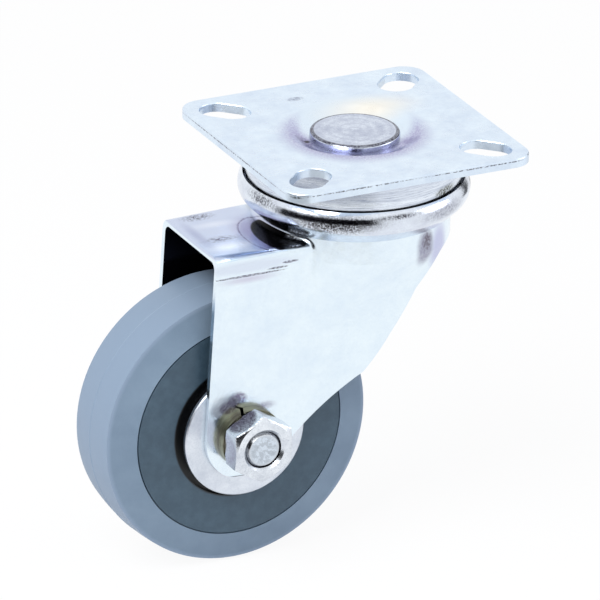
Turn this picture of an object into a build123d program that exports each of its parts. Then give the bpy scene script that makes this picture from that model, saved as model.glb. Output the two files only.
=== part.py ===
"""Swivel castor: a square top plate, a double ball race swivel head with a rolled collar,
a one-piece pressed fork and a rubber tyred wheel on two ball bearings.

Millimetres. The origin is the middle of the plate's upper face, on the swivel axis.
+Z points up and +X forward. The wheel trails towards -X, its axle runs along Y and
the nut is on the near side, at -Y.
"""
import math
import os

from build123d import *

# Top plate
plate_side = 69.8
plate_thickness = 2.5
plate_corner_radius = 6.0
plate_edge_rounding = 0.5
slot_width = 9.3
slot_length = 13.6
slot_edge_margin = 3.63
dish_slope_length = 4.0
dish_depth = 2.0
dish_rim_rounding = 3.0

# King pin
pin_shank_radius = 6.0
pin_head_margin = 2.25
pin_head_height = 1.9
pin_head_rounding = 0.8
pin_foot_radius = 9.5
pin_foot_height = 2.6

# Swivel races
upper_ball_radius = 2.5
upper_ball_pitch_radius = 22.0
upper_ball_count = 16
upper_ball_bite = 1.1
lower_ball_radius = 2.0
lower_ball_pitch_radius = 11.0
lower_ball_count = 10
lower_ball_bite = 0.65
ball_play = 0.2
race_wall = 1.5
race_inner_wall = 1.0
race_crown_gap = 1.2
race_dish_gap = 0.3
race_lip_gap = 0.7
race_edge_rounding = 0.9
lower_race_thickness = 2.2
lower_race_radius = 15.0

# Rolled collar round the swivel head
collar_sheet = 1.1
collar_crown_reach = 5.0
collar_roll_radius = 4.6
collar_roll_drop = 1.1
collar_lip_step = 0.15
collar_foot_gap = 1.7
collar_foot_thickness = 0.5

# Fork
fork_sheet = 1.6
fork_outer_width = 32.4
crown_ball_margin = 3.2
crown_depth = 13.5
crown_rounding = 0.6
deck_depth = 22.6
deck_bend_radius = 4.0
deck_bend_end_radius = 1.6
deck_bend_end = 25.0
deck_rear = 46.8
neck_fillet = 1.5
skirt_depth = 27.4
skirt_corner_radius = 7.0
flare_middle_depth = 37.0
flare_end_depth = 52.0
flare_middle_reach = 31.0
flare_middle_bulge = 4.2
flare_end_reach = 44.0
leg_end_radius = 11.8
leg_toe_angle = -20.0
leg_toe_radius = 5.0
leg_knee_forward = 33.1
leg_knee_rise = 12.4
leg_lower_sagitta = 1.2
leg_shoulder_forward = 9.0
leg_shoulder_depth = 38.7
leg_front_sagitta = 1.6
skirt_corner_forward = 16.5

# Axle and fasteners
trail = 37.5
axle_depth = 73.4
axle_radius = 5.0
hexagon_across_flats = 16.0
hexagon_turn = 0.5
hexagon_chamfer = 0.8
bolt_head_height = 6.4
nut_height = 7.2
nut_countersink = 0.7
bolt_end_recess = 0.3
bolt_end_chamfer = 0.8
spring_washer_radius = 8.5
spring_washer_thickness = 2.8
spring_washer_gap = 0.9
spring_washer_slant = 1.1
spring_washer_split = 107.0

# Wheel
wheel_radius = 37.5
tread_crown = 0.6
tread_half_width = 9.1
shoulder_rounding = 1.4
parting_ridge_height = 0.12
parting_ridge_width = 0.6
tyre_depth = 8.3
hub_width = 22.4
hub_seam_width = 0.35
hub_seam_depth = 0.6
hub_key_half_width = 4.0
hub_key_height = 2.0
hub_recess_radius = 18.3
hub_recess_depth = 1.3

# Wheel bearings and the discs that keep them in
bearing_outer_radius = 15.0
bearing_width = 9.0
bearing_ring_wall = 3.3
bearing_ball_radius = 2.35
bearing_ball_count = 7
bearing_ball_play = 0.1
bearing_spacer_width = 3.2
bearing_spacer_wall = 2.2
bearing_shoulder = 1.6
cage_wall = 1.6
cage_width = 6.2
disc_radius = 17.0
disc_sheet = 1.5
disc_edge_chamfer = 0.3

# Clearances
shaft_clearance = 0.05
pin_clearance = 0.9

# Heights and radii worked out from the sizes above
plate_underside = -plate_thickness
dish_floor = -dish_depth
dish_underside = dish_floor - plate_thickness
slot_reach = (slot_length - slot_width) / 2 / math.sqrt(2) + slot_width / 2
slot_centre = plate_side / 2 - slot_edge_margin - slot_reach
crown_top = -crown_depth
crown_underside = crown_top - fork_sheet
race_bottom = crown_top + race_crown_gap
upper_ball_height = crown_top + upper_ball_radius - upper_ball_bite
upper_groove_radius = upper_ball_radius + ball_play
lower_groove_radius = lower_ball_radius + ball_play
race_inner_radius = upper_ball_pitch_radius - upper_groove_radius - race_inner_wall
dish_radius = race_inner_radius - race_dish_gap
dish_floor_radius = dish_radius - dish_slope_length
pin_head_radius = dish_floor_radius - pin_head_margin
crown_radius = upper_ball_pitch_radius + crown_ball_margin
collar_outer_radius = crown_radius + collar_crown_reach
lower_ball_height = crown_underside + lower_ball_bite - lower_groove_radius
lower_race_top = lower_ball_height - lower_ball_bite
lower_race_bottom = lower_race_top - lower_race_thickness
roll_centre = collar_outer_radius - collar_roll_radius
roll_inside = collar_roll_radius - collar_sheet
lip_offset = roll_inside - collar_lip_step
collar_lip_radius = roll_centre + lip_offset
half_fork = fork_outer_width / 2
leg_inner = half_fork - fork_sheet
axle_height = -axle_depth
tread_edge_radius = wheel_radius - tread_crown
hub_radius = wheel_radius - tyre_depth
hub_half = hub_width / 2
bearing_start = bearing_spacer_width / 2
bearing_end = bearing_start + bearing_width
bearing_middle = bearing_start + bearing_width / 2
bearing_bore = axle_radius + shaft_clearance
bearing_pitch_radius = (bearing_outer_radius + bearing_bore) / 2
bearing_groove_radius = bearing_ball_radius + bearing_ball_play
outer_ring_bore = bearing_outer_radius - bearing_ring_wall
inner_ring_radius = bearing_bore + bearing_ring_wall
disc_start = leg_inner - disc_sheet
washer_end = half_fork + spring_washer_thickness
nut_end = washer_end + nut_height

# Planes of the axle. In wheel_section x runs along the axle and y out from it.
# axle_plane faces the near side, with +X to the right and +Z up.
wheel_section = Plane(origin=(-trail, 0, axle_height), x_dir=(0, 1, 0), z_dir=(1, 0, 0))
axle_plane = Plane(origin=(-trail, 0, axle_height), x_dir=(1, 0, 0), z_dir=(0, -1, 0))
axle_line = Axis((-trail, 0, axle_height), (0, 1, 0))

os.makedirs("parts", exist_ok=True)


def save(piece, label):
    """Names a finished piece and writes its file."""
    piece.part.label = label
    export_step(piece.part, f"parts/{label}.step")


def upright_ring(inner, outer, low, high, mode=Mode.ADD):
    """Half section of a ring round the swivel axis, in Plane.XZ."""
    with Locations(((inner + outer) / 2, (low + high) / 2)):
        Rectangle(outer - inner, high - low, mode=mode)


def axle_ring(inner, outer, start, end, mode=Mode.ADD):
    """Half section of a ring round the axle, in wheel_section."""
    with Locations(((start + end) / 2, (inner + outer) / 2)):
        Rectangle(abs(end - start), outer - inner, mode=mode)


def ball_row(radius, pitch_radius, count, mode=Mode.ADD):
    """Evenly spaced balls round the axis of the plane in use."""
    with PolarLocations(pitch_radius, count):
        Sphere(radius, mode=mode)


# Top plate: pressed steel, dished for the rivet head, with slots that point at the middle
with BuildPart() as top_plate:
    with BuildSketch():
        RectangleRounded(plate_side, plate_side, plate_corner_radius)
        with PolarLocations(slot_centre * math.sqrt(2), 4, start_angle=45):
            SlotOverall(slot_length, slot_width, mode=Mode.SUBTRACT)
    extrude(amount=-plate_thickness)
    fillet(top_plate.edges().group_by(Axis.Z)[-1], plate_edge_rounding)
    with BuildSketch(Plane.XZ):
        with BuildLine():
            Polyline(
                (0, plate_underside),
                (0, dish_underside),
                (dish_floor_radius, dish_underside),
                (dish_radius, plate_underside),
                close=True,
            )
        make_face()
    revolve(axis=Axis.Z)
    with BuildSketch(Plane.XZ) as dish:
        with BuildLine():
            Polyline(
                (0, plate_thickness),
                (0, dish_floor),
                (dish_floor_radius, dish_floor),
                (dish_radius, 0),
                (dish_radius + dish_rim_rounding, 0),
                (dish_radius + dish_rim_rounding, plate_thickness),
                close=True,
            )
        make_face()
        for bend in ((dish_floor_radius, dish_floor), (dish_radius, 0)):
            fillet(dish.vertices().sort_by_distance(bend)[0], dish_rim_rounding)
    revolve(axis=Axis.Z, mode=Mode.SUBTRACT)
    with BuildSketch(Plane.XY.offset(dish_floor)):
        Circle(pin_shank_radius + shaft_clearance)
    extrude(amount=-plate_thickness, mode=Mode.SUBTRACT)
save(top_plate, "top_plate")

# King pin: a rivet whose foot carries the lower race, closed over in the dish
with BuildPart() as king_pin:
    with BuildSketch(Plane.XZ):
        upright_ring(0, pin_head_radius, dish_floor, dish_floor + pin_head_height)
        upright_ring(0, pin_shank_radius, lower_race_bottom, dish_floor)
        upright_ring(0, pin_foot_radius, lower_race_bottom - pin_foot_height, lower_race_bottom)
    revolve(axis=Axis.Z)
    fillet(king_pin.edges().group_by(Axis.Z)[-1], pin_head_rounding)
    chamfer(king_pin.edges().group_by(Axis.Z)[0], pin_head_rounding)
save(king_pin, "king_pin")

# Upper race: a ring with a hollow back, held under the plate by its balls
race_outer_radius = collar_lip_radius - race_lip_gap
race_hollow_floor = upper_ball_height + upper_groove_radius + race_wall
with BuildPart() as upper_race:
    with BuildSketch(Plane.XZ) as race_profile:
        upright_ring(race_inner_radius, race_outer_radius, race_bottom, plate_underside)
        fillet(race_profile.vertices().group_by(Axis.Y)[0], race_edge_rounding)
        upright_ring(
            race_inner_radius + race_wall,
            race_outer_radius - race_wall,
            race_hollow_floor,
            plate_underside,
            mode=Mode.SUBTRACT,
        )
        with Locations((upper_ball_pitch_radius, upper_ball_height)):
            Circle(upper_groove_radius, mode=Mode.SUBTRACT)
    revolve(axis=Axis.Z)
save(upper_race, "upper_race")

with BuildPart(Plane.XY.offset(upper_ball_height)) as upper_balls:
    ball_row(upper_ball_radius, upper_ball_pitch_radius, upper_ball_count)
save(upper_balls, "upper_balls")

with BuildPart(Plane.XY.offset(lower_ball_height)) as lower_balls:
    ball_row(lower_ball_radius, lower_ball_pitch_radius, lower_ball_count)
save(lower_balls, "lower_balls")

# Lower race: a grooved ring on the foot of the king pin
with BuildPart() as lower_race:
    with BuildSketch(Plane.XZ):
        upright_ring(
            pin_shank_radius + shaft_clearance,
            lower_race_radius,
            lower_race_bottom,
            lower_race_top,
        )
        with Locations((lower_ball_pitch_radius, lower_ball_height)):
            Circle(lower_groove_radius, mode=Mode.SUBTRACT)
    revolve(axis=Axis.Z)
save(lower_race, "lower_race")

# Rolled collar: sheet whose lip stands round the upper balls and whose foot grips the crown
roll_height = crown_top - collar_roll_drop
collar_bore = crown_radius + shaft_clearance
foot_height = collar_foot_gap - deck_depth
foot_end = (collar_bore + collar_foot_thickness, foot_height)
foot_distance = math.dist(foot_end, (roll_centre, roll_height))
foot_direction = math.atan2(foot_end[1] - roll_height, foot_end[0] - roll_centre)
cone_angle = foot_direction + math.acos(collar_roll_radius / foot_distance)
cone_start = (
    roll_centre + collar_roll_radius * math.cos(cone_angle),
    roll_height + collar_roll_radius * math.sin(cone_angle),
)
lip_top = (collar_lip_radius, roll_height + math.sqrt(collar_roll_radius**2 - lip_offset**2))
lip_inside = (collar_lip_radius, roll_height + math.sqrt(roll_inside**2 - lip_offset**2))
with BuildPart() as rolled_collar:
    with BuildSketch(Plane.XZ):
        with BuildLine():
            ThreePointArc(lip_top, (collar_outer_radius, roll_height), cone_start)
            Polyline(
                cone_start,
                foot_end,
                (collar_bore, foot_height),
                (collar_bore, roll_height - roll_inside),
                (roll_centre, roll_height - roll_inside),
            )
            ThreePointArc(
                (roll_centre, roll_height - roll_inside),
                (roll_centre + roll_inside, roll_height),
                lip_inside,
            )
            Line(lip_inside, lip_top)
        make_face()
    revolve(axis=Axis.Z)
save(rolled_collar, "rolled_collar")


def fork_body(inset):
    """The fork as a full form: its outside, or with an inset its hollow."""
    drum = crown_radius - inset
    wall = half_fork - inset
    front = math.sqrt(drum**2 - wall**2)
    rear = deck_rear + leg_end_radius
    top = -deck_depth - inset
    height = axle_depth + leg_end_radius - deck_depth
    bends = ((-rear, deck_bend_radius - inset), (-deck_bend_end, deck_bend_end_radius))
    with BuildPart() as body:
        for place, bend in bends:
            with BuildSketch(Plane.YZ.offset(place)) as arch:
                with Locations((0, top - height / 2)):
                    Rectangle(2 * wall, height)
                fillet(arch.vertices().group_by(Axis.Z)[-1], bend)
        loft(ruled=True)
        extrude(body.faces().sort_by(Axis.X)[-1], amount=deck_bend_end + front)
        with BuildSketch(Plane.XY.offset(-skirt_depth)):
            Circle(drum)
        extrude(amount=skirt_depth - crown_depth - inset)
        neck_edges = body.edges().filter_by(
            lambda edge: edge.geom_type == GeomType.CIRCLE
            and abs(edge.radius - drum) < 0.01
            and abs(edge.center().Z + deck_depth + inset) < 0.01
        )
        fillet(neck_edges, neck_fillet + inset)
        with BuildSketch(Plane.XY.offset(-skirt_depth)):
            Ellipse(drum, drum)
        with BuildSketch(Plane.XY.offset(-flare_middle_depth)):
            Ellipse(flare_middle_reach - inset, wall + flare_middle_bulge)
        with BuildSketch(Plane.XY.offset(-flare_end_depth)):
            Ellipse(flare_end_reach - inset, wall)
        loft()
        with BuildSketch(Plane.XZ):
            with Locations((upper_ball_pitch_radius, upper_ball_height)):
                Circle(upper_groove_radius + inset)
        revolve(axis=Axis.Z, mode=Mode.SUBTRACT)
    return body.part


fork_outside = fork_body(0)
fork_hollow = fork_body(fork_sheet)
toe_angle = math.radians(leg_toe_angle)
toe = (
    -trail + leg_end_radius * math.cos(toe_angle),
    axle_height + leg_end_radius * math.sin(toe_angle),
)
knee = (-trail + leg_knee_forward, axle_height + leg_knee_rise)
shoulder = (leg_shoulder_forward, -leg_shoulder_depth)
skirt_corner = (skirt_corner_forward, -skirt_depth)
skirt_front = crown_radius + fork_sheet

# Fork: one sheet, drawn up into the crown with its ball track and folded down into two legs
with BuildPart() as fork:
    add(fork_outside)
    add(fork_hollow, mode=Mode.SUBTRACT)
    with BuildSketch(Plane.XZ) as side_view:
        with BuildLine():
            Polyline(
                (-trail - leg_end_radius, axle_height),
                (-deck_rear, -deck_depth),
                (-deck_rear, 0),
                (skirt_front, 0),
                (skirt_front, -skirt_depth),
                skirt_corner,
                shoulder,
            )
            SagittaArc(shoulder, knee, leg_front_sagitta)
            SagittaArc(knee, toe, -leg_lower_sagitta)
            ThreePointArc(
                toe,
                (-trail, axle_height - leg_end_radius),
                (-trail - leg_end_radius, axle_height),
            )
        make_face()
        fillet(side_view.vertices().sort_by_distance(skirt_corner)[0], skirt_corner_radius)
        fillet(side_view.vertices().sort_by_distance(toe)[0], leg_toe_radius)
    extrude(amount=crown_radius + fork_sheet, both=True, mode=Mode.INTERSECT)
    crown_edge = fork.edges().filter_by(
        lambda edge: edge.geom_type == GeomType.CIRCLE
        and abs(edge.radius - crown_radius) < 0.01
        and abs(edge.center().Z - crown_top) < 0.01
    )
    fillet(crown_edge, crown_rounding)
    with BuildSketch(Plane.XY):
        Circle(pin_shank_radius + pin_clearance)
    extrude(amount=-deck_depth, mode=Mode.SUBTRACT)
    with BuildSketch(Plane.XZ):
        with Locations((lower_ball_pitch_radius, lower_ball_height)):
            Circle(lower_groove_radius)
    revolve(axis=Axis.Z, mode=Mode.SUBTRACT)
    with BuildSketch(axle_plane):
        Circle(bearing_bore)
    extrude(amount=fork_outer_width, both=True, mode=Mode.SUBTRACT)
save(fork, "fork")


def hexagon(face, height):
    """A nut's or bolt head's prism on a plane across the axle, as deep as its height."""
    with BuildSketch(axle_plane.offset(face)) as outline:
        RegularPolygon(hexagon_across_flats / 2, 6, major_radius=False, rotation=hexagon_turn)
    extrude(outline.sketch, amount=height)


def turn_off_corners(face, inward):
    """Turns the corners of a hexagon down at the face that lies at this place along the axle."""
    corner_radius = hexagon_across_flats / math.sqrt(3) + shaft_clearance
    face_radius = corner_radius - hexagon_chamfer / math.tan(math.radians(30))
    with BuildSketch(wheel_section) as corner:
        with BuildLine():
            Polyline(
                (face, face_radius),
                (face, corner_radius),
                (face + inward * hexagon_chamfer, corner_radius),
                close=True,
            )
        make_face()
    revolve(corner.sketch, axis=axle_line, mode=Mode.SUBTRACT)


# Axle bolt: its head is on the far side and its thread ends inside the nut
with BuildPart() as axle_bolt:
    hexagon(-half_fork, -bolt_head_height)
    turn_off_corners(half_fork + bolt_head_height, -1)
    with BuildSketch(axle_plane.offset(-half_fork)):
        Circle(axle_radius)
    extrude(amount=half_fork + nut_end - bolt_end_recess)
    chamfer(axle_bolt.edges().group_by(Axis.Y)[0], bolt_end_chamfer)
save(axle_bolt, "axle_bolt")

with BuildPart() as axle_nut:
    hexagon(washer_end, nut_height)
    turn_off_corners(-nut_end, 1)
    turn_off_corners(-washer_end, -1)
    with BuildSketch(axle_plane):
        Circle(bearing_bore)
    extrude(amount=nut_end, mode=Mode.SUBTRACT)
    outer_circles = axle_nut.edges().filter_by(GeomType.CIRCLE).group_by(Axis.Y)[0]
    chamfer(outer_circles.sort_by(SortBy.RADIUS)[0], nut_countersink)
save(axle_nut, "axle_nut")

# Spring washer: a flat coil cut through on a slant
split_angle = math.radians(spring_washer_split)
split_plane = Plane(
    origin=(-trail, 0, axle_height),
    x_dir=(-math.sin(split_angle), 0, math.cos(split_angle)),
    z_dir=(math.cos(split_angle), 0, math.sin(split_angle)),
)
with BuildPart() as spring_washer:
    with BuildSketch(axle_plane.offset(half_fork)):
        Circle(spring_washer_radius)
        Circle(bearing_bore, mode=Mode.SUBTRACT)
    extrude(amount=spring_washer_thickness)
    with BuildSketch(split_plane):
        with BuildLine():
            Polyline(
                (-(spring_washer_gap + spring_washer_slant) / 2, half_fork),
                ((spring_washer_gap - spring_washer_slant) / 2, half_fork),
                ((spring_washer_gap + spring_washer_slant) / 2, washer_end),
                (-(spring_washer_gap - spring_washer_slant) / 2, washer_end),
                close=True,
            )
        make_face()
    extrude(amount=spring_washer_radius, mode=Mode.SUBTRACT)
save(spring_washer, "spring_washer")

# Tyre: rubber moulded over the key of the hub, with the mould's parting line round the tread
key_radius = hub_radius + hub_key_height
ridge_base = wheel_radius - parting_ridge_height / 2
with BuildPart() as tyre:
    with BuildSketch(wheel_section) as tyre_profile:
        with BuildLine():
            ThreePointArc(
                (-tread_half_width, tread_edge_radius),
                (0, wheel_radius),
                (tread_half_width, tread_edge_radius),
            )
            Polyline(
                (tread_half_width, tread_edge_radius),
                (hub_half, hub_radius),
                (hub_key_half_width, hub_radius),
                (hub_key_half_width, key_radius),
                (-hub_key_half_width, key_radius),
                (-hub_key_half_width, hub_radius),
                (-hub_half, hub_radius),
                (-tread_half_width, tread_edge_radius),
            )
        make_face()
        tread_corners = tyre_profile.vertices().filter_by(
            lambda corner: abs(abs(corner.Y) - tread_half_width) < 0.01
        )
        fillet(tread_corners, shoulder_rounding)
        with BuildLine():
            Polyline(
                (-parting_ridge_width / 2, ridge_base),
                (0, wheel_radius + parting_ridge_height),
                (parting_ridge_width / 2, ridge_base),
                close=True,
            )
        make_face()
    revolve(axis=axle_line)
save(tyre, "tyre")

# Hub: moulded in one piece, with a seat for a bearing and a shallow recess on each side
with BuildPart() as wheel_hub:
    with BuildSketch(wheel_section):
        axle_ring(outer_ring_bore + bearing_shoulder, hub_radius, -hub_half, hub_half)
        axle_ring(hub_radius, key_radius, -hub_key_half_width, hub_key_half_width)
        for side in (-1, 1):
            recess_floor = side * (hub_half - hub_recess_depth)
            face = side * hub_half
            axle_ring(0, bearing_outer_radius, side * bearing_start, face, mode=Mode.SUBTRACT)
            axle_ring(0, hub_recess_radius, recess_floor, face, mode=Mode.SUBTRACT)
            axle_ring(
                hub_radius - hub_seam_width,
                hub_radius,
                face - side * hub_seam_depth,
                face,
                mode=Mode.SUBTRACT,
            )
    revolve(axis=axle_line)
save(wheel_hub, "wheel_hub")

with BuildPart() as bearing_spacer:
    with BuildSketch(wheel_section):
        axle_ring(bearing_bore, bearing_bore + bearing_spacer_wall, -bearing_start, bearing_start)
    revolve(axis=axle_line)
save(bearing_spacer, "bearing_spacer")

# One bearing and one disc on each side of the wheel
for side, place in ((-1, "near"), (1, "far")):
    with BuildPart() as outer_ring:
        with BuildSketch(wheel_section):
            axle_ring(
                outer_ring_bore,
                bearing_outer_radius,
                side * bearing_start,
                side * bearing_end,
            )
            with Locations((side * bearing_middle, bearing_pitch_radius)):
                Circle(bearing_groove_radius, mode=Mode.SUBTRACT)
        revolve(axis=axle_line)
    save(outer_ring, f"{place}_outer_ring")

    with BuildPart() as inner_ring:
        with BuildSketch(wheel_section):
            axle_ring(bearing_bore, inner_ring_radius, side * bearing_start, side * bearing_end)
            with Locations((side * bearing_middle, bearing_pitch_radius)):
                Circle(bearing_groove_radius, mode=Mode.SUBTRACT)
        revolve(axis=axle_line)
    save(inner_ring, f"{place}_inner_ring")

    ball_plane = axle_plane.offset(-side * bearing_middle)
    with BuildPart(ball_plane) as bearing_balls:
        ball_row(bearing_ball_radius, bearing_pitch_radius, bearing_ball_count)
    save(bearing_balls, f"{place}_bearing_balls")

    with BuildPart(ball_plane) as bearing_cage:
        Cylinder(bearing_pitch_radius + cage_wall / 2, cage_width)
        Cylinder(bearing_pitch_radius - cage_wall / 2, cage_width, mode=Mode.SUBTRACT)
        with PolarLocations(bearing_pitch_radius, bearing_ball_count):
            Cylinder(
                bearing_groove_radius,
                bearing_pitch_radius,
                rotation=(0, 90, 0),
                mode=Mode.SUBTRACT,
            )
    save(bearing_cage, f"{place}_bearing_cage")

    with BuildPart() as hub_disc:
        with BuildSketch(wheel_section) as disc_profile:
            axle_ring(bearing_bore, disc_radius, side * disc_start, side * leg_inner)
            rim = disc_profile.vertices().group_by(Axis.Z)[-1]
            chamfer(rim, disc_edge_chamfer)
            axle_ring(
                bearing_bore,
                bearing_bore + bearing_spacer_wall,
                side * bearing_end,
                side * disc_start,
            )
        revolve(axis=axle_line)
    save(hub_disc, f"{place}_hub_disc")
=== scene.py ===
# %% [markdown]
# # A swivel castor with a zinc plated fork and a rubber tyre
#
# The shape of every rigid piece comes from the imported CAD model, which this script loads as a
# fixed frame. What is left to do here is the look: the finish of each piece, the light of a
# small product studio and the camera. Blender works in metres, and so does the frame.

# %% Load the frame
import bpy
import math
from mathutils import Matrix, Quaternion, Vector


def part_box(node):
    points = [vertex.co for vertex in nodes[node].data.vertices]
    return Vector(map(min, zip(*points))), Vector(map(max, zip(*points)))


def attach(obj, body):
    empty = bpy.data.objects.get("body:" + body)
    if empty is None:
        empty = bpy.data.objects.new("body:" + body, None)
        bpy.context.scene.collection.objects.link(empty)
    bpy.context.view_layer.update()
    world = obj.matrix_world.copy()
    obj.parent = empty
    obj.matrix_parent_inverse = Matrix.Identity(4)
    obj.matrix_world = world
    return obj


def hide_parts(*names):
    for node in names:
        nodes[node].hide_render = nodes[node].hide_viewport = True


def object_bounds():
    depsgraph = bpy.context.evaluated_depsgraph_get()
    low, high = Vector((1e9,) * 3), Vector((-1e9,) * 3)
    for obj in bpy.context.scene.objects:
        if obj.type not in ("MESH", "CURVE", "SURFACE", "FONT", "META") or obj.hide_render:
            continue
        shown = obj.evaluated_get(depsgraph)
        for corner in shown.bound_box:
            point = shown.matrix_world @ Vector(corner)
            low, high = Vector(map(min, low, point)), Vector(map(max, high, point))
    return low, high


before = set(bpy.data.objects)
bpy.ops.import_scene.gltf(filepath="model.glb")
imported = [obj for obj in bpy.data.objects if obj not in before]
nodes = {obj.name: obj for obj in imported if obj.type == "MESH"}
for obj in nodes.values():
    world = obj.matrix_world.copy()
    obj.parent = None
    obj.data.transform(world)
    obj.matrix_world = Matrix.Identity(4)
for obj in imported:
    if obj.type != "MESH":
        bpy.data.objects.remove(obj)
cad_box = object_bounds()
MM = 0.001
print("CAD nodes:", len(nodes), "box:", [round(v, 4) for corner in cad_box for v in corner])

# %% [markdown]
# ## Where things are
#
# The origin is the middle of the plate's upper face. The axle, the bolt's end and the nut's back
# are read from the boxes of their pieces, so they follow the CAD when a size changes there. The
# finishes below count in millimetres, and so do the last four values here.

# %% Places worked out from the frame
hub_low, hub_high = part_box("wheel_hub")
nut_low, nut_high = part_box("axle_nut")
axle = (hub_low + hub_high) / 2
floor_height = cad_box[0].z
axle_x, axle_z = axle.x / MM, axle.z / MM
bolt_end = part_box("axle_bolt")[0].y / MM
nut_back = nut_high.y / MM
print("axle at", [round(v, 4) for v in axle], "floor at", round(floor_height, 4))

# %% [markdown]
# ## Colour and node helpers
#
# Colours are written as the sRGB hex values that a designer would pick from a picture. Blender
# counts in linear light, so one function turns them over. The next one adds one shader node with
# its settings and its links, because a material made of many nodes is easier to read when each
# node takes one call. The short ones after it stand for the nodes that every finish needs.

# %% Colour and node helpers
def linear(hex_colour):
    """An sRGB hex value as linear red, green, blue and alpha."""
    parts = [int(hex_colour[i:i + 2], 16) / 255 for i in (1, 3, 5)]
    light = [p / 12.92 if p <= 0.04045 else ((p + 0.055) / 1.055) ** 2.4 for p in parts]
    return (*light, 1.0)


def add(tree, kind, settings=None, inputs=None):
    """Adds a node. Each input is a value, or an output socket to link from."""
    made = tree.nodes.new("ShaderNode" + kind)
    for name, value in (settings or {}).items():
        setattr(made, name, value)
    for name, value in (inputs or {}).items():
        if isinstance(value, bpy.types.NodeSocket):
            tree.links.new(value, made.inputs[name])
        else:
            made.inputs[name].default_value = value
    return made


def new_material(name):
    """An empty material and its node tree."""
    material = bpy.data.materials.new(name)
    material.use_nodes = True
    material.node_tree.nodes.clear()
    return material, material.node_tree


def millimetres(tree, scale=(1, 1, 1)):
    """The surface's place in the frame, in millimetres, as a socket. A scale stretches it."""
    place = add(tree, "TexCoord").outputs["Object"]
    return add(tree, "Mapping", {}, {"Vector": place, "Scale": [1000 * s for s in scale]}).outputs[0]


def noise(tree, place, size, detail, roughness=0.5):
    """Soft clouds of about the given size in millimetres."""
    return add(tree, "TexNoise", {}, {"Vector": place, "Scale": 1 / size, "Detail": detail,
                                      "Roughness": roughness}).outputs[0]


def spread(tree, value, start, end, low=0.0, high=1.0, smooth=False):
    """Turns a value between start and end into one between low and high."""
    return add(tree, "MapRange", {"interpolation_type": "SMOOTHSTEP" if smooth else "LINEAR"},
               {"Value": value, "From Min": start, "From Max": end,
                "To Min": low, "To Max": high}).outputs[0]


def combine(tree, operation, first, second):
    """One step of arithmetic on two values."""
    return add(tree, "Math", {"operation": operation}, {0: first, 1: second}).outputs[0]


def blend(tree, share, first, second):
    """Mixes two colours: a share of 0 gives the first and 1 the second."""
    return add(tree, "Mix", {"data_type": "RGBA"}, {0: share, 6: first, 7: second}).outputs[2]


print("middle grey", [round(c, 3) for c in linear("#808080")[:3]])

# %% [markdown]
# ## Marks
#
# The painted shade, highlights and reflections on this castor, and a few specks and lines of its
# own, lie at fixed places. Each is drawn as a mark: an ellipsoid in the frame, given by its middle
# and its reach, in which one colour lies over the finish. A mark can fade out from a share of its
# reach, be hollow like a ring, and be broken up into specks. It stays on its piece when the castor
# moves.

# %% Marks
RING_FADE = 0.02


def patch(tree, place, centre, reach, hard=0.6, hollow=None):
    """1 inside an ellipsoid and 0 outside it. Hard is the share of its reach where it starts to
    fade, and hollow is the share inside which nothing is left, for a ring."""
    away = add(tree, "VectorMath", {"operation": "SUBTRACT"}, {0: place, 1: centre})
    scaled = add(tree, "VectorMath", {"operation": "DIVIDE"}, {0: away.outputs[0], 1: reach})
    length = add(tree, "VectorMath", {"operation": "LENGTH"}, {0: scaled.outputs[0]})
    share = spread(tree, length.outputs["Value"], hard, 1.0, 1.0, 0.0, smooth=True)
    if hollow is None:
        return share
    outside = spread(tree, length.outputs["Value"], hollow - RING_FADE, hollow)
    return combine(tree, "MULTIPLY", share, outside)


def lay_mark(tree, place, below, centre, reach, colour, mottle=0.0, hard=0.3, hollow=None,
          lowest=None, speck=0.6):
    """Lays a patch of colour over the socket below. Mottle breaks it up into specks of the given
    size, and nothing is laid under the lowest height."""
    share = patch(tree, place, centre, reach, hard, hollow)
    if mottle:
        specks = noise(tree, place, speck, 3.0, 0.7)
        share = combine(tree, "MULTIPLY", share, spread(tree, specks, 0.44, 0.56, 1 - mottle, 1.0))
    if lowest is not None:
        height = add(tree, "SeparateXYZ", {}, {0: place}).outputs["Z"]
        share = combine(tree, "MULTIPLY", share, spread(tree, height, lowest - 0.3, lowest))
    return blend(tree, share, below, linear(colour))


def mark(centre, reach, colour, **more):
    """One patch of colour, as its middle and its reach in millimetres."""
    return dict(centre=centre, reach=reach, colour=colour, **more)


print("marks fade over", RING_FADE, "of their reach at a ring's inside")

# %% [markdown]
# ## Bright zinc plating
#
# The plate, the collar and the fork are mild steel, pressed from sheet and then dipped in a bright
# zinc bath with a blue passivation. That gives a mirror with a cool tint which is never quite flat.
# The plating clouds over in patches of about 9 mm, its gloss drifts over about 5 mm, and the rolled
# sheet under it has an orange peel about 1.5 mm across. Its crystals and pits are far below a tenth
# of a millimetre, so they are drawn coarser, at 0.35 and 0.45 mm. Tight corners get little light, so
# a painted shade darkens them, and faces that look into the fork or down get a nearly black painted
# shade.
#
# Turned faces have feed marks a few tenths of a millimetre apart. The rings on the rivet's head
# stand for them, and are drawn about 3 mm apart. The sharp crease between the leg and the drum
# is rounded in shading alone, inside one patch.

# %% Zinc plating
# Sizes and depths are in millimetres.
CLOUD, HAZE, ORANGE_PEEL = 9, 5, 1.5
PIT, CRYSTAL = 0.45, 0.35
PEEL_DEPTH, CRYSTAL_DEPTH = 0.012, 0.004
CREASE_RADIUS = 3.0
# The rings of the wave pattern lie 0.314 of this apart.
TURNED_RING = 9
# Shares of open light between which the painted corner shade clears up.
CORNER_DARK, CORNER_CLEAR = 0.18, 0.62
# Where a face starts to count, and counts in full, as one that looks into the fork or down, for the
# painted shade inside.
INWARD_FROM, INWARD_TO = -4 * MM, -9 * MM
UNDER_FROM, UNDER_TO = -0.6, -0.8


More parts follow.
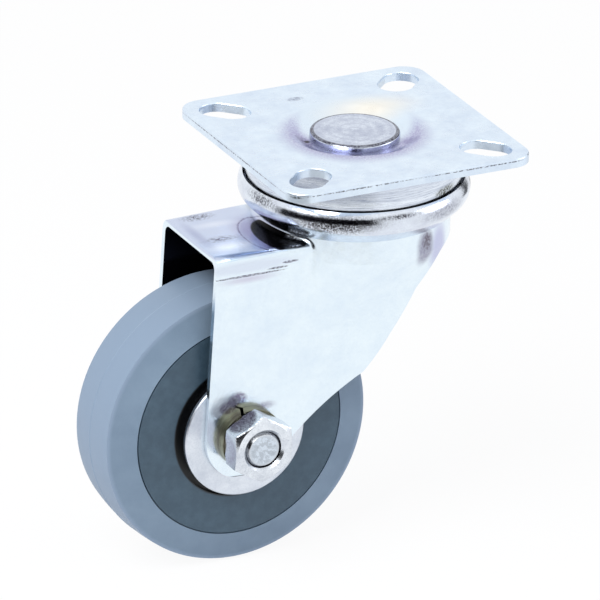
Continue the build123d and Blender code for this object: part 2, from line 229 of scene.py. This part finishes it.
def paint_inside_shade(tree, below):
    """Paints a nearly black shade on the faces that look into the fork: those that turn to its
    middle plane, where Y times the normal's Y is negative, and undersides."""
    surface = add(tree, "TexCoord")
    place = add(tree, "SeparateXYZ", {}, {0: surface.outputs["Object"]})
    facing = add(tree, "SeparateXYZ", {}, {0: surface.outputs["Normal"]})
    sideways = combine(tree, "MULTIPLY", place.outputs["Y"], facing.outputs["Y"])
    inward = spread(tree, sideways, INWARD_FROM, INWARD_TO)
    under = spread(tree, facing.outputs["Z"], UNDER_FROM, UNDER_TO)
    # Painted shade, nearly black, inside the fork and underneath.
    return blend(tree, combine(tree, "MAXIMUM", inward, under), below, linear("#1b1b22"))


def zinc(name, light, cloud, roughness=0.2, peel=1.0, grain=(1, 1, 1), shade="#3c3a4c",
         corner_reach=5.0, patches=(), shade_inside=False, speckle=0.35, glint=1.0,
         soft_crease=None, rings=0.0):
    """Blue passivated zinc. The colours are its clear tint, its clouds and the painted shade of its
    corners. Peel and glint scale the depth of its two reliefs, and speckle and rings say how far its
    pits and its turned rings show. Soft crease is the patch in which a sharp edge is rounded."""
    material, tree = new_material(name)
    place = millimetres(tree)
    along = millimetres(tree, grain)
    cloudy = spread(tree, noise(tree, along, CLOUD, 8.0, 0.78), 0.36, 0.7)
    tint = blend(tree, cloudy, linear(light), linear(cloud))
    pitted = spread(tree, noise(tree, along, PIT, 2.0, 0.8), 0.52, 0.72, 0.0, speckle)
    tint = blend(tree, pitted, tint, linear(cloud))
    if rings:
        turned = add(tree, "TexWave", {"wave_type": "RINGS", "rings_direction": "Z"},
                     {"Vector": place, "Scale": 1 / TURNED_RING, "Distortion": 5.0, "Detail": 5.0,
                      "Detail Scale": 2.5, "Detail Roughness": 0.8})
        worn = spread(tree, turned.outputs["Fac"], 0.35, 1.0, 0.0, rings)
        tint = blend(tree, worn, tint, linear(cloud))
    # Painted shade: where little open light reaches within the corner reach, the tint goes over to
    # the shade colour.
    open_to_light = add(tree, "AmbientOcclusion", {"samples": 8}, {"Distance": corner_reach * MM})
    corner = spread(tree, open_to_light.outputs["AO"], CORNER_DARK, CORNER_CLEAR, smooth=True)
    finish = blend(tree, corner, linear(shade), tint)
    for spot in patches:
        finish = lay_mark(tree, place, finish, **spot)
    if shade_inside:
        finish = paint_inside_shade(tree, finish)
    haze = noise(tree, along, HAZE, 5.0, 0.65)
    rough = spread(tree, haze, 0.3, 0.7, roughness * 0.75, roughness * 1.35)
    low = add(tree, "Bump", {}, {"Height": noise(tree, place, ORANGE_PEEL, 2.0), "Strength": 1.0,
                                 "Distance": PEEL_DEPTH * MM * peel})
    if soft_crease:
        flat = add(tree, "NewGeometry")
        rounded = add(tree, "Bevel", {"samples": 6}, {"Radius": CREASE_RADIUS * MM})
        blended = add(tree, "Mix", {"data_type": "VECTOR"},
                      {0: patch(tree, place, *soft_crease), 4: flat.outputs["Normal"],
                       5: rounded.outputs[0]})
        tree.links.new(blended.outputs[1], low.inputs["Normal"])
    crystals = noise(tree, along, CRYSTAL, 3.0, 0.7)
    relief = add(tree, "Bump", {}, {"Height": crystals, "Strength": 1.0,
                                    "Distance": CRYSTAL_DEPTH * MM * glint,
                                    "Normal": low.outputs[0]})
    metal = add(tree, "BsdfPrincipled", {}, {"Base Color": finish, "Metallic": 1.0,
                                             "Roughness": rough, "Normal": relief.outputs[0]})
    add(tree, "OutputMaterial", {}, {"Surface": metal.outputs[0]})
    return material


print("zinc clouds", CLOUD, "mm, orange peel", ORANGE_PEEL, "mm")

# %% [markdown]
# ## Plate and collar
#
# The plate mirrors little but the white room. Round its dish lie a painted lilac shade on the near
# side and painted light on the far side, and dark dots along its lower edges are painted reflections
# of the dark room in the arris. The collar is rolled, so its bulge gathers the dark of the room in a
# band, which is painted on it as a reflection and broken up into specks like the grain of the
# plating.

# %% Plate and collar finishes
plate_painted_light_and_specks = [
    # Painted shade on the near side of the dish, and painted light on its far side.
    mark((-1.2, -2.4, -0.6), (22, 22, 4), "#a49fc8", hard=0.7, mottle=0.5, speck=0.5),
    mark((3.5, 7.0, -1.0), (17, 17, 8), "#dfecf8", hard=0.78),
    mark((9.5, 12.0, -0.5), (19, 10, 4), "#f8f4ea", hard=0.0),
    # Painted shade in the dish to the left and right of the pin, with a black speck of it on the
    # left.
    mark((-13.6, 1.5, -1.5), (2.4, 5.5, 2.5), "#5f5985", mottle=0.6),
    mark((11.6, -9.8, -1.5), (3.2, 4.0, 2.5), "#8883b0", mottle=0.5),
    mark((-13.0, 1.6, -1.9), (1.1, 1.1, 1.2), "#15131c"),
    mark((-5.0, 25.0, 0), (3.0, 1.6, 1), "#8b93ab", mottle=0.9, speck=0.9),
    # Painted reflections of the dark room: black specks at the near corner and dark dots along the
    # lower edges.
    mark((-33.4, -33.4, -1.0), (2.4, 2.4, 0.5), "#1d1c22", mottle=0.9),
    mark((-16.0, -34.9, -0.7), (20, 1.0, 0.22), "#4c4a54", mottle=1.0, hard=0.6),
    mark((18.0, -34.9, -0.75), (20, 1.0, 0.22), "#5d5b64", mottle=1.0, hard=0.6),
    mark((-34.9, 0, -0.8), (1.0, 36, 0.25), "#6d6b78", mottle=1.0, hard=0.6),
]
plate_finish = zinc("zinc_on_rolled_plate", "#e6f3fe", "#d0def0", roughness=0.3, patches=plate_painted_light_and_specks)
collar_painted_reflections = [
    # Painted reflections of the dark room in the rolled bulge: dark mottled bands, and a grey one on
    # the right.
    mark((-19.0, -23.0, -15.2), (18, 16, 3.4), "#3a3331", mottle=0.9, hard=0.1, speck=0.4),
    mark((-16.0, -25.0, -14.1), (17, 13, 3.0), "#1e1919", mottle=0.75, hard=0.1, speck=0.35),
    mark((-2.0, -30.0, -12.9), (9, 4, 0.9), "#3b3a44", mottle=0.7, hard=0.2),
    mark((-29.0, -5.0, -12.8), (4, 9, 2.2), "#3a3944", mottle=0.9, hard=0.1, speck=0.5),
    mark((27.5, -12.0, -13.6), (4, 9, 2.0), "#24242b", mottle=0.7, hard=0.3),
    mark((13.0, -27.0, -14.5), (16, 7, 3.2), "#a9adba", mottle=0.5, hard=0.2),
]
collar_finish = zinc("zinc_on_rolled_collar", "#eaf2fb", "#cfd5e4", roughness=0.17, peel=3.0,
                     glint=5.0, patches=collar_painted_reflections)
print("marks on the plate:", len(plate_painted_light_and_specks), "and on the collar:", len(collar_painted_reflections))

# %% [markdown]
# ## Fork
#
# The fork has the brightest sheet and the most painted light. A black oval is painted on the deck
# beside the drum, as the reflection of the shade under the collar, with a painted lilac halo and a
# thin line round it. It is drawn flat on the metal, and the sheet has no hole there. Painted
# reflections streak along the deck's bend, and painted shade and reflections lie round the nut.

# %% Fork finish
# Lowest heights of the painted black reflection on the deck and of its painted lilac halo.
DECK_PAINTED_SHADE_LOWEST = -22.9
DECK_PAINTED_HALO_LOWEST = -23.0
LEG_CREASE = ((-17, -18, -37), (15, 9, 15), 0.4)
fork_painted_light = [
    # Painted reflections lay the deck a shade greyer, with bands along its bend and under it.
    mark((-38.0, 0, -22.6), (20, 26, 1.2), "#ccd6ec", hard=0.7),
    mark((-38.0, -15.6, -25.8), (18.0, 3.0, 2.2), "#dce6f4", hard=0.4),
    mark((-38.0, -16.2, -29.2), (12.0, 2.0, 1.6), "#d3d5e6", hard=0.0),
    # The painted reflection of the shade under the collar: a lilac halo, a thin dark ring and a
    # black oval.
    mark((-28.2, -3.5, -22.6), (9.0, 14.5, 2.0), "#aeaacb", hard=0.25, lowest=DECK_PAINTED_HALO_LOWEST),
    mark((-27.2, -6.0, -22.6), (7.2, 13.2, 2.0), "#6f6a8c", hard=0.93, hollow=0.92, mottle=0.9,
         lowest=DECK_PAINTED_HALO_LOWEST),
    mark((-25.2, -7.4, -22.6), (6.0, 12.0, 1.1), "#000001", hard=0.92, lowest=DECK_PAINTED_SHADE_LOWEST),
    # Painted light on the drum's lower wall, and a painted highlight between the oval and the drum.
    mark((-22.4, -12.5, -19.8), (7.0, 9.0, 2.0), "#dfe5f0", mottle=0.8, hard=0.5),
    mark((-24.5, -13.5, -21.8), (3.6, 5.0, 2.0), "#e3e9f2", mottle=0.9, lowest=DECK_PAINTED_SHADE_LOWEST),
    # Painted reflections on the deck: dark streaks, bright highlights and a line at its rear edge.
    mark((-39.2, 12.0, -22.6), (6.5, 3.0, 2.0), "#4a4656", mottle=0.95, hard=0.0),
    mark((-40.0, -3.5, -22.6), (7.5, 2.6, 2.0), "#5f5a74", mottle=0.95, hard=0.0),
    mark((-40.0, -9.0, -22.6), (9.0, 4.0, 1.0), "#f1f5fe", hard=0.0),
    mark((-37.5, 6.0, -22.6), (9.0, 3.0, 1.0), "#dfe6f6", hard=0.0),
    mark((-44.5, 1.0, -22.6), (2.4, 13.0, 1.0), "#b4bcd8", hard=0.0),
    # Dark dotted lines under the bend: painted reflections.
    mark((-38.0, -16.2, -28.2), (12, 1.0, 0.34), "#6c697c", mottle=0.7, hard=0.7),
    mark((-29.6, -16.2, -27.4), (3.4, 1.0, 0.34), "#6c697c", mottle=0.7, hard=0.7),
    mark((-26.0, -16.2, -26.3), (2.6, 1.0, 0.4), "#6c697c", mottle=0.7, hard=0.7),
    # Painted lilac shade on the drum's right, and a dark painted reflection streak on it.
    mark((14.5, -20.5, -27.0), (5.0, 6.0, 9.0), "#c5cae6", hard=0.3),
    mark((9.2, -23.4, -25.8), (3.8, 5.0, 7.0), "#9b9cb0", mottle=0.2, hard=0.4),
    mark((9.8, -23.4, -24.0), (2.4, 4.0, 3.6), "#6f6a76", mottle=0.75),
    # Painted shade and painted reflections on the leg round the nut.
    mark((-45.4, -16.2, -73.0), (2.0, 2.0, 5.5), "#c6c7da", hard=0.1),
    mark((-32.8, -16.2, -65.4), (4.2, 2.0, 1.6), "#a9abbd", mottle=0.3, hard=0.1),
    mark((-43.2, -16.2, -64.4), (3.2, 2.0, 2.3), "#88829a", mottle=0.5, hard=0.6, speck=0.4),
    mark((-40.6, -16.2, -62.3), (3.2, 2.0, 2.3), "#88829a", mottle=0.5, hard=0.6, speck=0.4),
]
fork_finish = zinc("zinc_on_pressed_fork", "#ecf8ff", "#e0eefa", roughness=0.2, patches=fork_painted_light,
                   shade_inside=True, speckle=0.5, soft_crease=LEG_CREASE)
print("marks on the fork:", len(fork_painted_light))

# %% [markdown]
# ## Race and rivet head
#
# The upper race is streaked round its rim, so its pattern is stretched sideways and packed in
# height, and a painted olive reflection lies on its near side. The rivet's head has worn rings, a
# dark line where it meets the dish and a painted dark reflection at its front.

# %% Race and rivet head finishes
# A painted olive reflection on the near side of the race.
race_painted_reflection = [mark((14.0, -24.5, -10.2), (6.0, 5.0, 1.9), "#44452f", mottle=0.7)]
ring_finish = zinc("zinc_on_turned_ring", "#eef6ff", "#939db6", roughness=0.24,
                   grain=(0.08, 0.08, 2.2), shade="#a4a8b4", corner_reach=2.0, patches=race_painted_reflection,
                   speckle=0.8)
head_joint_and_reflection = [
    mark((0, 0, -0.35), (11.9, 11.9, 0.8), "#4d4c5a", mottle=0.4, hard=0.985, hollow=0.96),
    # A painted dark reflection at the front of the head.
    mark((-5.0, -10.6, -1.2), (2.8, 1.6, 0.8), "#2c2a36", mottle=0.4),
]
head_finish = zinc("zinc_on_rivet_head", "#e4edf9", "#a7afc6", roughness=0.22, speckle=0.6,
                   rings=0.35, patches=head_joint_and_reflection)
print("marks on the race:", len(race_painted_reflection), "and on the rivet's head:", len(head_joint_and_reflection))

# %% [markdown]
# ## Fasteners, discs and bearing steel
#
# The nut is cold headed and tumbled in bulk, so its zinc is dented and pitted more than on sheet,
# and painted reflections lie on its flats, dark above and light on the left. The bolt's end is
# smoother and has a painted shade round its edge. The discs are stamped and less glossy.
# The spring washer is hardened steel with a dull, yellowish plating that is streaked. The balls
# and rings are ground and polished steel with no plating, and the cages are pressed and satin.
# The same function draws them, in greys and with other gloss.

# %% Fasteners, discs and bearing steel
nut_painted_reflections = [
    # Painted reflections on the flats: a dark one above and a light one on the left.
    mark((-41.6, nut_back - 2.2, -66.4), (5.0, 5.0, 4.0), "#5f5a69", mottle=0.55, hard=0.72,
         speck=0.4),
    mark((-45.5, nut_back - 2.2, -73.4), (2.6, 5.0, 4.6), "#b7b6c6", mottle=0.4, hard=0.7),
]
fastener_finish = zinc("zinc_on_cold_headed_steel", "#eef4fa", "#bfc6d2", roughness=0.22, peel=2.0,
                       corner_reach=1.5, shade="#5c5a60", speckle=0.6, patches=nut_painted_reflections)
bolt_edge_shade_and_face = [
    # A painted shade round the edge of the bolt's end, where it meets the nut, with the end face
    # laid over it in its own colour.
    mark((axle_x, bolt_end + 0.4, axle_z), (5.3, 0.75, 5.3), "#2b2a31", mottle=0.3, hard=0.8),
    mark((axle_x, bolt_end, axle_z), (4.15, 3, 4.15), "#d3deea", hard=0.92, mottle=0.35,
         speck=1.2),
]
bolt_finish = zinc("zinc_on_bolt_end", "#eef4fa", "#bfc6d2", roughness=0.22, patches=bolt_edge_shade_and_face)
disc_finish = zinc("zinc_on_stamped_disc", "#e9eff7", "#c6cedb", roughness=0.34, corner_reach=1.5,
                   speckle=0.5)
washer_finish = zinc("dull_zinc_on_spring_steel", "#a9a78c", "#3b3a2c", roughness=0.34, peel=1.5,
                     grain=(0.15, 1.5, 0.15), shade="#24231a", corner_reach=2.0, speckle=0.9)
bearing_finish = zinc("ground_bearing_steel", "#c4c8cf", "#b4b9c2", roughness=0.12, peel=0.2)
cage_finish = zinc("pressed_cage_steel", "#a6abb3", "#969ba5", roughness=0.35)
print("marks on the nut:", len(nut_painted_reflections), "and on the bolt's end:", len(bolt_edge_shade_and_face))

# %% [markdown]
# ## Rubber
#
# The tyre is a grey thermoplastic rubber, moulded on the hub. Rubber of this kind is matt with a
# soft sheen, its index of refraction is about 1.52, and talc and handling leave lighter clouds on
# it, about 18 mm across. The mould was spark eroded, with a grain near 0.1 mm that is too fine to
# show here, so it is drawn at 0.5 mm. The tread is painted a shade lighter than the side, as painted
# light.

# %% Rubber
BLOOM_CLOUD, MOULD_GRAIN = 18, 0.5
MOULD_GRAIN_DEPTH = 0.02
RUBBER_IOR = 1.52


def rubber(name, body, bloom, patches=()):
    """Matt moulded rubber with a lighter bloom in clouds."""
    material, tree = new_material(name)
    place = millimetres(tree)
    clouds = noise(tree, place, BLOOM_CLOUD, 5.0, 0.6)
    finish = blend(tree, spread(tree, clouds, 0.35, 0.7), linear(body), linear(bloom))
    for spot in patches:
        finish = lay_mark(tree, place, finish, **spot)
    relief = add(tree, "Bump", {}, {"Height": noise(tree, place, MOULD_GRAIN, 3.0),
                                    "Strength": 1.0, "Distance": MOULD_GRAIN_DEPTH * MM})
    matt = add(tree, "BsdfPrincipled", {}, {"Base Color": finish, "IOR": RUBBER_IOR,
                                            "Roughness": spread(tree, clouds, 0.0, 1.0, 0.45, 0.62),
                                            "Normal": relief.outputs[0]})
    add(tree, "OutputMaterial", {}, {"Surface": matt.outputs[0]})
    return material


tyre_painted_tread_and_speck = [
    # Painted light: the tread, beyond 36.6 mm from the axle, is laid a shade lighter.
    mark((axle_x, 0, axle_z), (42, 200, 42), "#8598ad", hard=0.9, hollow=0.872),
    mark((-72.4, -7.0, -40.4), (0.5, 0.5, 0.5), "#131c26"),
]
tyre_finish = rubber("grey_moulded_rubber", "#6f8498", "#7e93a6", tyre_painted_tread_and_speck)
print("rubber made, marks on the tyre:", len(tyre_painted_tread_and_speck))

# %% [markdown]
# ## Moulded hub
#
# The hub is glass filled polyamide in slate grey, moulded in a satin tool. Its index of
# refraction is about 1.53. Under a soft light it shows a faint mottle of about 3 mm, where the
# fibres lie close to the skin. The tool's own grain is near 0.1 mm and is drawn at 0.6 mm. The
# recess round the disc gets almost no light, so it is nearly black.

# %% Hub plastic
FIBRE_MOTTLE, TOOL_GRAIN = 3, 0.6
TOOL_GRAIN_DEPTH = 0.012
POLYAMIDE_IOR = 1.53
RECESS_DARK, RECESS_CLEAR = 18.3, 18.9


def moulded(name, body, fleck, recess_shade):
    """Satin moulded polyamide with a faint mottle, and a painted shade, nearly black, in the recess
    round the axle.
    """
    material, tree = new_material(name)
    place = millimetres(tree)
    mottle = noise(tree, place, FIBRE_MOTTLE, 6.0, 0.7)
    skin = blend(tree, spread(tree, mottle, 0.4, 0.72), linear(body), linear(fleck))
    from_axle = add(tree, "VectorMath", {"operation": "SUBTRACT"}, {0: place, 1: axle / MM})
    across = add(tree, "VectorMath", {"operation": "MULTIPLY"},
                 {0: from_axle.outputs[0], 1: (1, 0, 1)})
    radius = add(tree, "VectorMath", {"operation": "LENGTH"}, {0: across.outputs[0]})
    seat = spread(tree, radius.outputs["Value"], RECESS_DARK, RECESS_CLEAR, smooth=True)
    relief = add(tree, "Bump", {}, {"Height": noise(tree, place, TOOL_GRAIN, 2.0),
                                    "Strength": 1.0, "Distance": TOOL_GRAIN_DEPTH * MM})
    satin = add(tree, "BsdfPrincipled", {}, {"Base Color": blend(tree, seat, linear(recess_shade), skin),
                                             "Roughness": spread(tree, mottle, 0.0, 1.0, 0.38, 0.55),
                                             "IOR": POLYAMIDE_IOR, "Normal": relief.outputs[0]})
    add(tree, "OutputMaterial", {}, {"Surface": satin.outputs[0]})
    return material


hub_finish = moulded("slate_grey_polyamide", "#384f5f", "#445c6c", "#03060b")
print("hub plastic made, dark inside", RECESS_DARK, "mm from the axle")

# %% [markdown]
# ## Finish of each piece
#
# A CAD node keeps its mesh and only gets a material, so one table from node to finish is enough.
# What isn't in the table is bearing steel.

# %% Put the finishes on
finishes = {
    "top_plate": plate_finish,
    "king_pin": head_finish,
    "upper_race": ring_finish,
    "rolled_collar": collar_finish,
    "fork": fork_finish,
    "axle_bolt": bolt_finish,
    "axle_nut": fastener_finish,
    "spring_washer": washer_finish,
    "near_hub_disc": disc_finish,
    "far_hub_disc": disc_finish,
    "near_bearing_cage": cage_finish,
    "far_bearing_cage": cage_finish,
    "tyre": tyre_finish,
    "wheel_hub": hub_finish,
}
for name, piece in nodes.items():
    piece.data.materials.clear()
    piece.data.materials.append(finishes.get(name, bearing_finish))
print("finishes put on", len(nodes), "nodes")

# %% [markdown]
# ## Axle nut
#
# A hexagon nut is turned at 30 degrees on both faces, so its front is a round disc and each flat
# ends in a curved edge. The CAD's nut has a flat up, and this one was tightened with a corner
# up, so it takes the other's place within the same height. The ring of points below takes the
# smaller of two radii: the hexagon's own and the turned cone's. That gives the curved edges
# without any cutting. The mesh is 144 steps round, so its cones look smooth.

# %% Axle nut
ACROSS_FLATS = 16 * MM
NUT_BORE = 5.05 * MM
NUT_FACE_RADIUS = 7.6 * MM
COUNTERSINK = 0.7 * MM
CONE_ANGLE = 30
CONE_STEPS = 6
ROUND_STEPS = 144


def hexagon_reach(angle):
    """Distance from the axle to the flats, with a corner at the top."""
    from_flat = (angle + math.pi / 6) % (math.pi / 3) - math.pi / 6
    return ACROSS_FLATS / 2 / math.cos(from_flat)


corner_radius = ACROSS_FLATS / math.sqrt(3)
cone_width = corner_radius - NUT_FACE_RADIUS
cone_depth = cone_width * math.tan(math.radians(CONE_ANGLE))
cone = [(cone_depth * i / CONE_STEPS, NUT_FACE_RADIUS + cone_width * i / CONE_STEPS)
        for i in range(CONE_STEPS + 1)]
rings = [(nut_low.y + COUNTERSINK, NUT_BORE), (nut_low.y, NUT_BORE + COUNTERSINK)]
rings += [(nut_low.y + depth, radius) for depth, radius in cone]
rings += [(nut_high.y - depth, radius) for depth, radius in reversed(cone)]
rings += [(nut_high.y, NUT_BORE)]
points = []
for y, limit in rings:
    for step in range(ROUND_STEPS):
        angle = 2 * math.pi * step / ROUND_STEPS
        radius = min(limit, hexagon_reach(angle))
        points.append((axle.x + radius * math.cos(angle), y, axle.z + radius * math.sin(angle)))
faces = []
for ring in range(len(rings)):
    start, after = ring * ROUND_STEPS, (ring + 1) % len(rings) * ROUND_STEPS
    for step in range(ROUND_STEPS):
        side = (step + 1) % ROUND_STEPS
        faces.append((start + step, start + side, after + side, after + step))
nut_mesh = bpy.data.meshes.new("axle_nut_turned")
nut_mesh.from_pydata(points, [], faces)
nut_mesh.materials.append(fastener_finish)
nut = bpy.data.objects.new("axle_nut_turned", nut_mesh)
bpy.context.scene.collection.objects.link(nut)
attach(nut, "fork")
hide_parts("axle_nut")
print("nut faces", len(faces), "height", round(nut_high.y - nut_low.y, 4))

# %% [markdown]
# ## Floor
#
# The castor stands on a white paper sheet that fades into a white background. To the camera and
# to reflections the sheet is mostly plain white, and a small share of its real shading is kept,
# which leaves the soft shadow. Its fibres are finer than a millimetre and are drawn at 2 mm.

# %% Floor
FLOOR_RADIUS = 3.0
PLAIN_WHITE_SHARE = 0.93
PAPER_FIBRE = 2


def seen_by(tree, *rays):
    """1 for the kinds of ray that are named, and 0 for the light that falls on the object."""
    path = add(tree, "LightPath")
    share = path.outputs[rays[0]]
    for ray in rays[1:]:
        share = combine(tree, "MAXIMUM", share, path.outputs[ray])
    return share


def white_floor():
    """A white sheet that keeps a faint shadow."""
    material, tree = new_material("white_paper_sheet")
    fibres = noise(tree, millimetres(tree), PAPER_FIBRE, 3.0)
    paper = blend(tree, fibres, linear("#fbfbfc"), linear("#ffffff"))
    lit = add(tree, "BsdfDiffuse", {}, {"Color": paper})
    white = add(tree, "Emission", {}, {"Color": (1, 1, 1, 1), "Strength": 1.0})
    seen = seen_by(tree, "Is Camera Ray", "Is Glossy Ray")
    share = combine(tree, "MULTIPLY", seen, PLAIN_WHITE_SHARE)
    both = add(tree, "MixShader", {}, {0: share, 1: lit.outputs[0], 2: white.outputs[0]})
    add(tree, "OutputMaterial", {}, {"Surface": both.outputs[0]})
    return material


bpy.ops.mesh.primitive_circle_add(vertices=96, radius=FLOOR_RADIUS, fill_type="NGON",
                                  location=(0, 0, floor_height))
floor = bpy.context.object
floor.name = "floor"
floor.data.materials.append(white_floor())
print("floor laid,", FLOOR_RADIUS, "m in radius")

# %% [markdown]
# ## Background
#
# The background is white where it is seen, directly or in a reflection. The light that it throws
# on the object is dimmer and a little blue, so the white costs no contrast.

# %% World
ROOM_LIGHT = 0.55
world = bpy.data.worlds.new("white_studio")
bpy.context.scene.world = world
world.use_nodes = True
tree = world.node_tree
tree.nodes.clear()
shown = seen_by(tree, "Is Camera Ray", "Is Glossy Ray", "Is Transmission Ray")
soft = add(tree, "Background", {}, {"Color": linear("#f4f6ff"), "Strength": ROOM_LIGHT})
white = add(tree, "Background", {}, {"Color": (1, 1, 1, 1), "Strength": 1.0})
both = add(tree, "MixShader", {}, {0: shown, 1: soft.outputs[0], 2: white.outputs[0]})
add(tree, "OutputWorld", {}, {"Surface": both.outputs[0]})
bpy.context.scene.view_settings.view_transform = "Standard"
print("world set, its light at", ROOM_LIGHT)

# %% [markdown]
# ## Lamps
#
# A large softbox above and to the left gives the main light and the soft shadow to the right. A
# weaker one from the right lifts the side of the drum.

# %% Lamps
def softbox(name, place, aim, size, power, colour="#ffffff"):
    """A square area lamp that faces the aim."""
    lamp = bpy.data.lights.new(name, "AREA")
    lamp.shape = "SQUARE"
    lamp.size = size
    lamp.energy = power
    lamp.color = linear(colour)[:3]
    holder = bpy.data.objects.new(name, lamp)
    bpy.context.scene.collection.objects.link(holder)
    holder.location = place
    holder.rotation_euler = (Vector(aim) - Vector(place)).to_track_quat("-Z", "Y").to_euler()


middle = (cad_box[0] + cad_box[1]) / 2
softbox("key_softbox", (-0.65, -0.3, 0.8), middle, size=0.7, power=9.5)
softbox("side_softbox", (0.9, -0.5, 0.25), middle, size=0.5, power=2.0, colour="#f4f2ff")
print("lamps:", len(bpy.data.lights))

# %% [markdown]
# ## Black cards
#
# A bright metal only shows what stands around it. A product photographer puts black cards round
# the table, out of the picture, so that edges and rounds get dark lines. The cards here are seen
# by reflections alone. They end 9 cm above the plate, so it stays bright seen from behind too.

# %% Black cards
CARD_RADIUS = 0.33
CARD_TOP = 0.09
CARD_BLACK = "#0c0b12"
CARD_STEPS = 24


def black_card(name, start, end):
    """A bent card round the object, from one heading to another, that only reflections see."""
    rim = []
    for i in range(CARD_STEPS + 1):
        heading = math.radians(start + (end - start) * i / CARD_STEPS)
        x, y = CARD_RADIUS * math.sin(heading), -CARD_RADIUS * math.cos(heading)
        rim += [(x, y, floor_height), (x, y, CARD_TOP)]
    mesh = bpy.data.meshes.new(name)
    mesh.from_pydata(rim, [], [(2 * i, 2 * i + 2, 2 * i + 3, 2 * i + 1) for i in range(CARD_STEPS)])
    card = bpy.data.objects.new(name, mesh)
    bpy.context.scene.collection.objects.link(card)
    material, tree = new_material(name + "_paper")
    flat = add(tree, "Emission", {}, {"Color": linear(CARD_BLACK), "Strength": 1.0})
    add(tree, "OutputMaterial", {}, {"Surface": flat.outputs[0]})
    mesh.materials.append(material)
    card.visible_camera = False
    card.visible_diffuse = False
    card.visible_shadow = False


black_card("front_card", -102, -5)
black_card("right_card", 102, 116)
print("black cards stand", CARD_RADIUS, "m from the swivel axis")

# %% [markdown]
# ## Camera
#
# The picture was taken from the front left, a little above, with a long lens. The camera looks
# at a point between the plate and the wheel, and no lens shift is needed.

# %% Camera
AZIMUTH, ELEVATION, ROLL, DISTANCE = -26.6, 23.1, 1.0, 2.6
AIM_ASIDE, AIM_HEIGHT = -0.0134, -0.0482
FOCAL_PIXELS, PICTURE_PIXELS = 10000, 600
SENSOR_WIDTH = 36
CLIP_NEAR, CLIP_FAR = 0.1, 20
azimuth, elevation = math.radians(AZIMUTH), math.radians(ELEVATION)
back = Vector((math.sin(azimuth) * math.cos(elevation), -math.cos(azimuth) * math.cos(elevation),
               math.sin(elevation)))
aside = Vector((math.cos(azimuth), math.sin(azimuth), 0))
target = aside * AIM_ASIDE + Vector((0, 0, AIM_HEIGHT))
camera_data = bpy.data.cameras.new("camera")
camera_data.sensor_width = SENSOR_WIDTH
camera_data.lens = SENSOR_WIDTH * FOCAL_PIXELS / PICTURE_PIXELS
camera_data.clip_start, camera_data.clip_end = CLIP_NEAR, CLIP_FAR
camera = bpy.data.objects.new("camera", camera_data)
bpy.context.scene.collection.objects.link(camera)
camera.location = target + back * DISTANCE
camera.rotation_mode = "QUATERNION"
level = (-back).to_track_quat("-Z", "Y")
camera.rotation_quaternion = level @ Quaternion((0, 0, 1), math.radians(ROLL))
bpy.context.scene.camera = camera
print("lens", round(camera_data.lens, 1), "mm, camera at", [round(v, 3) for v in camera.location])
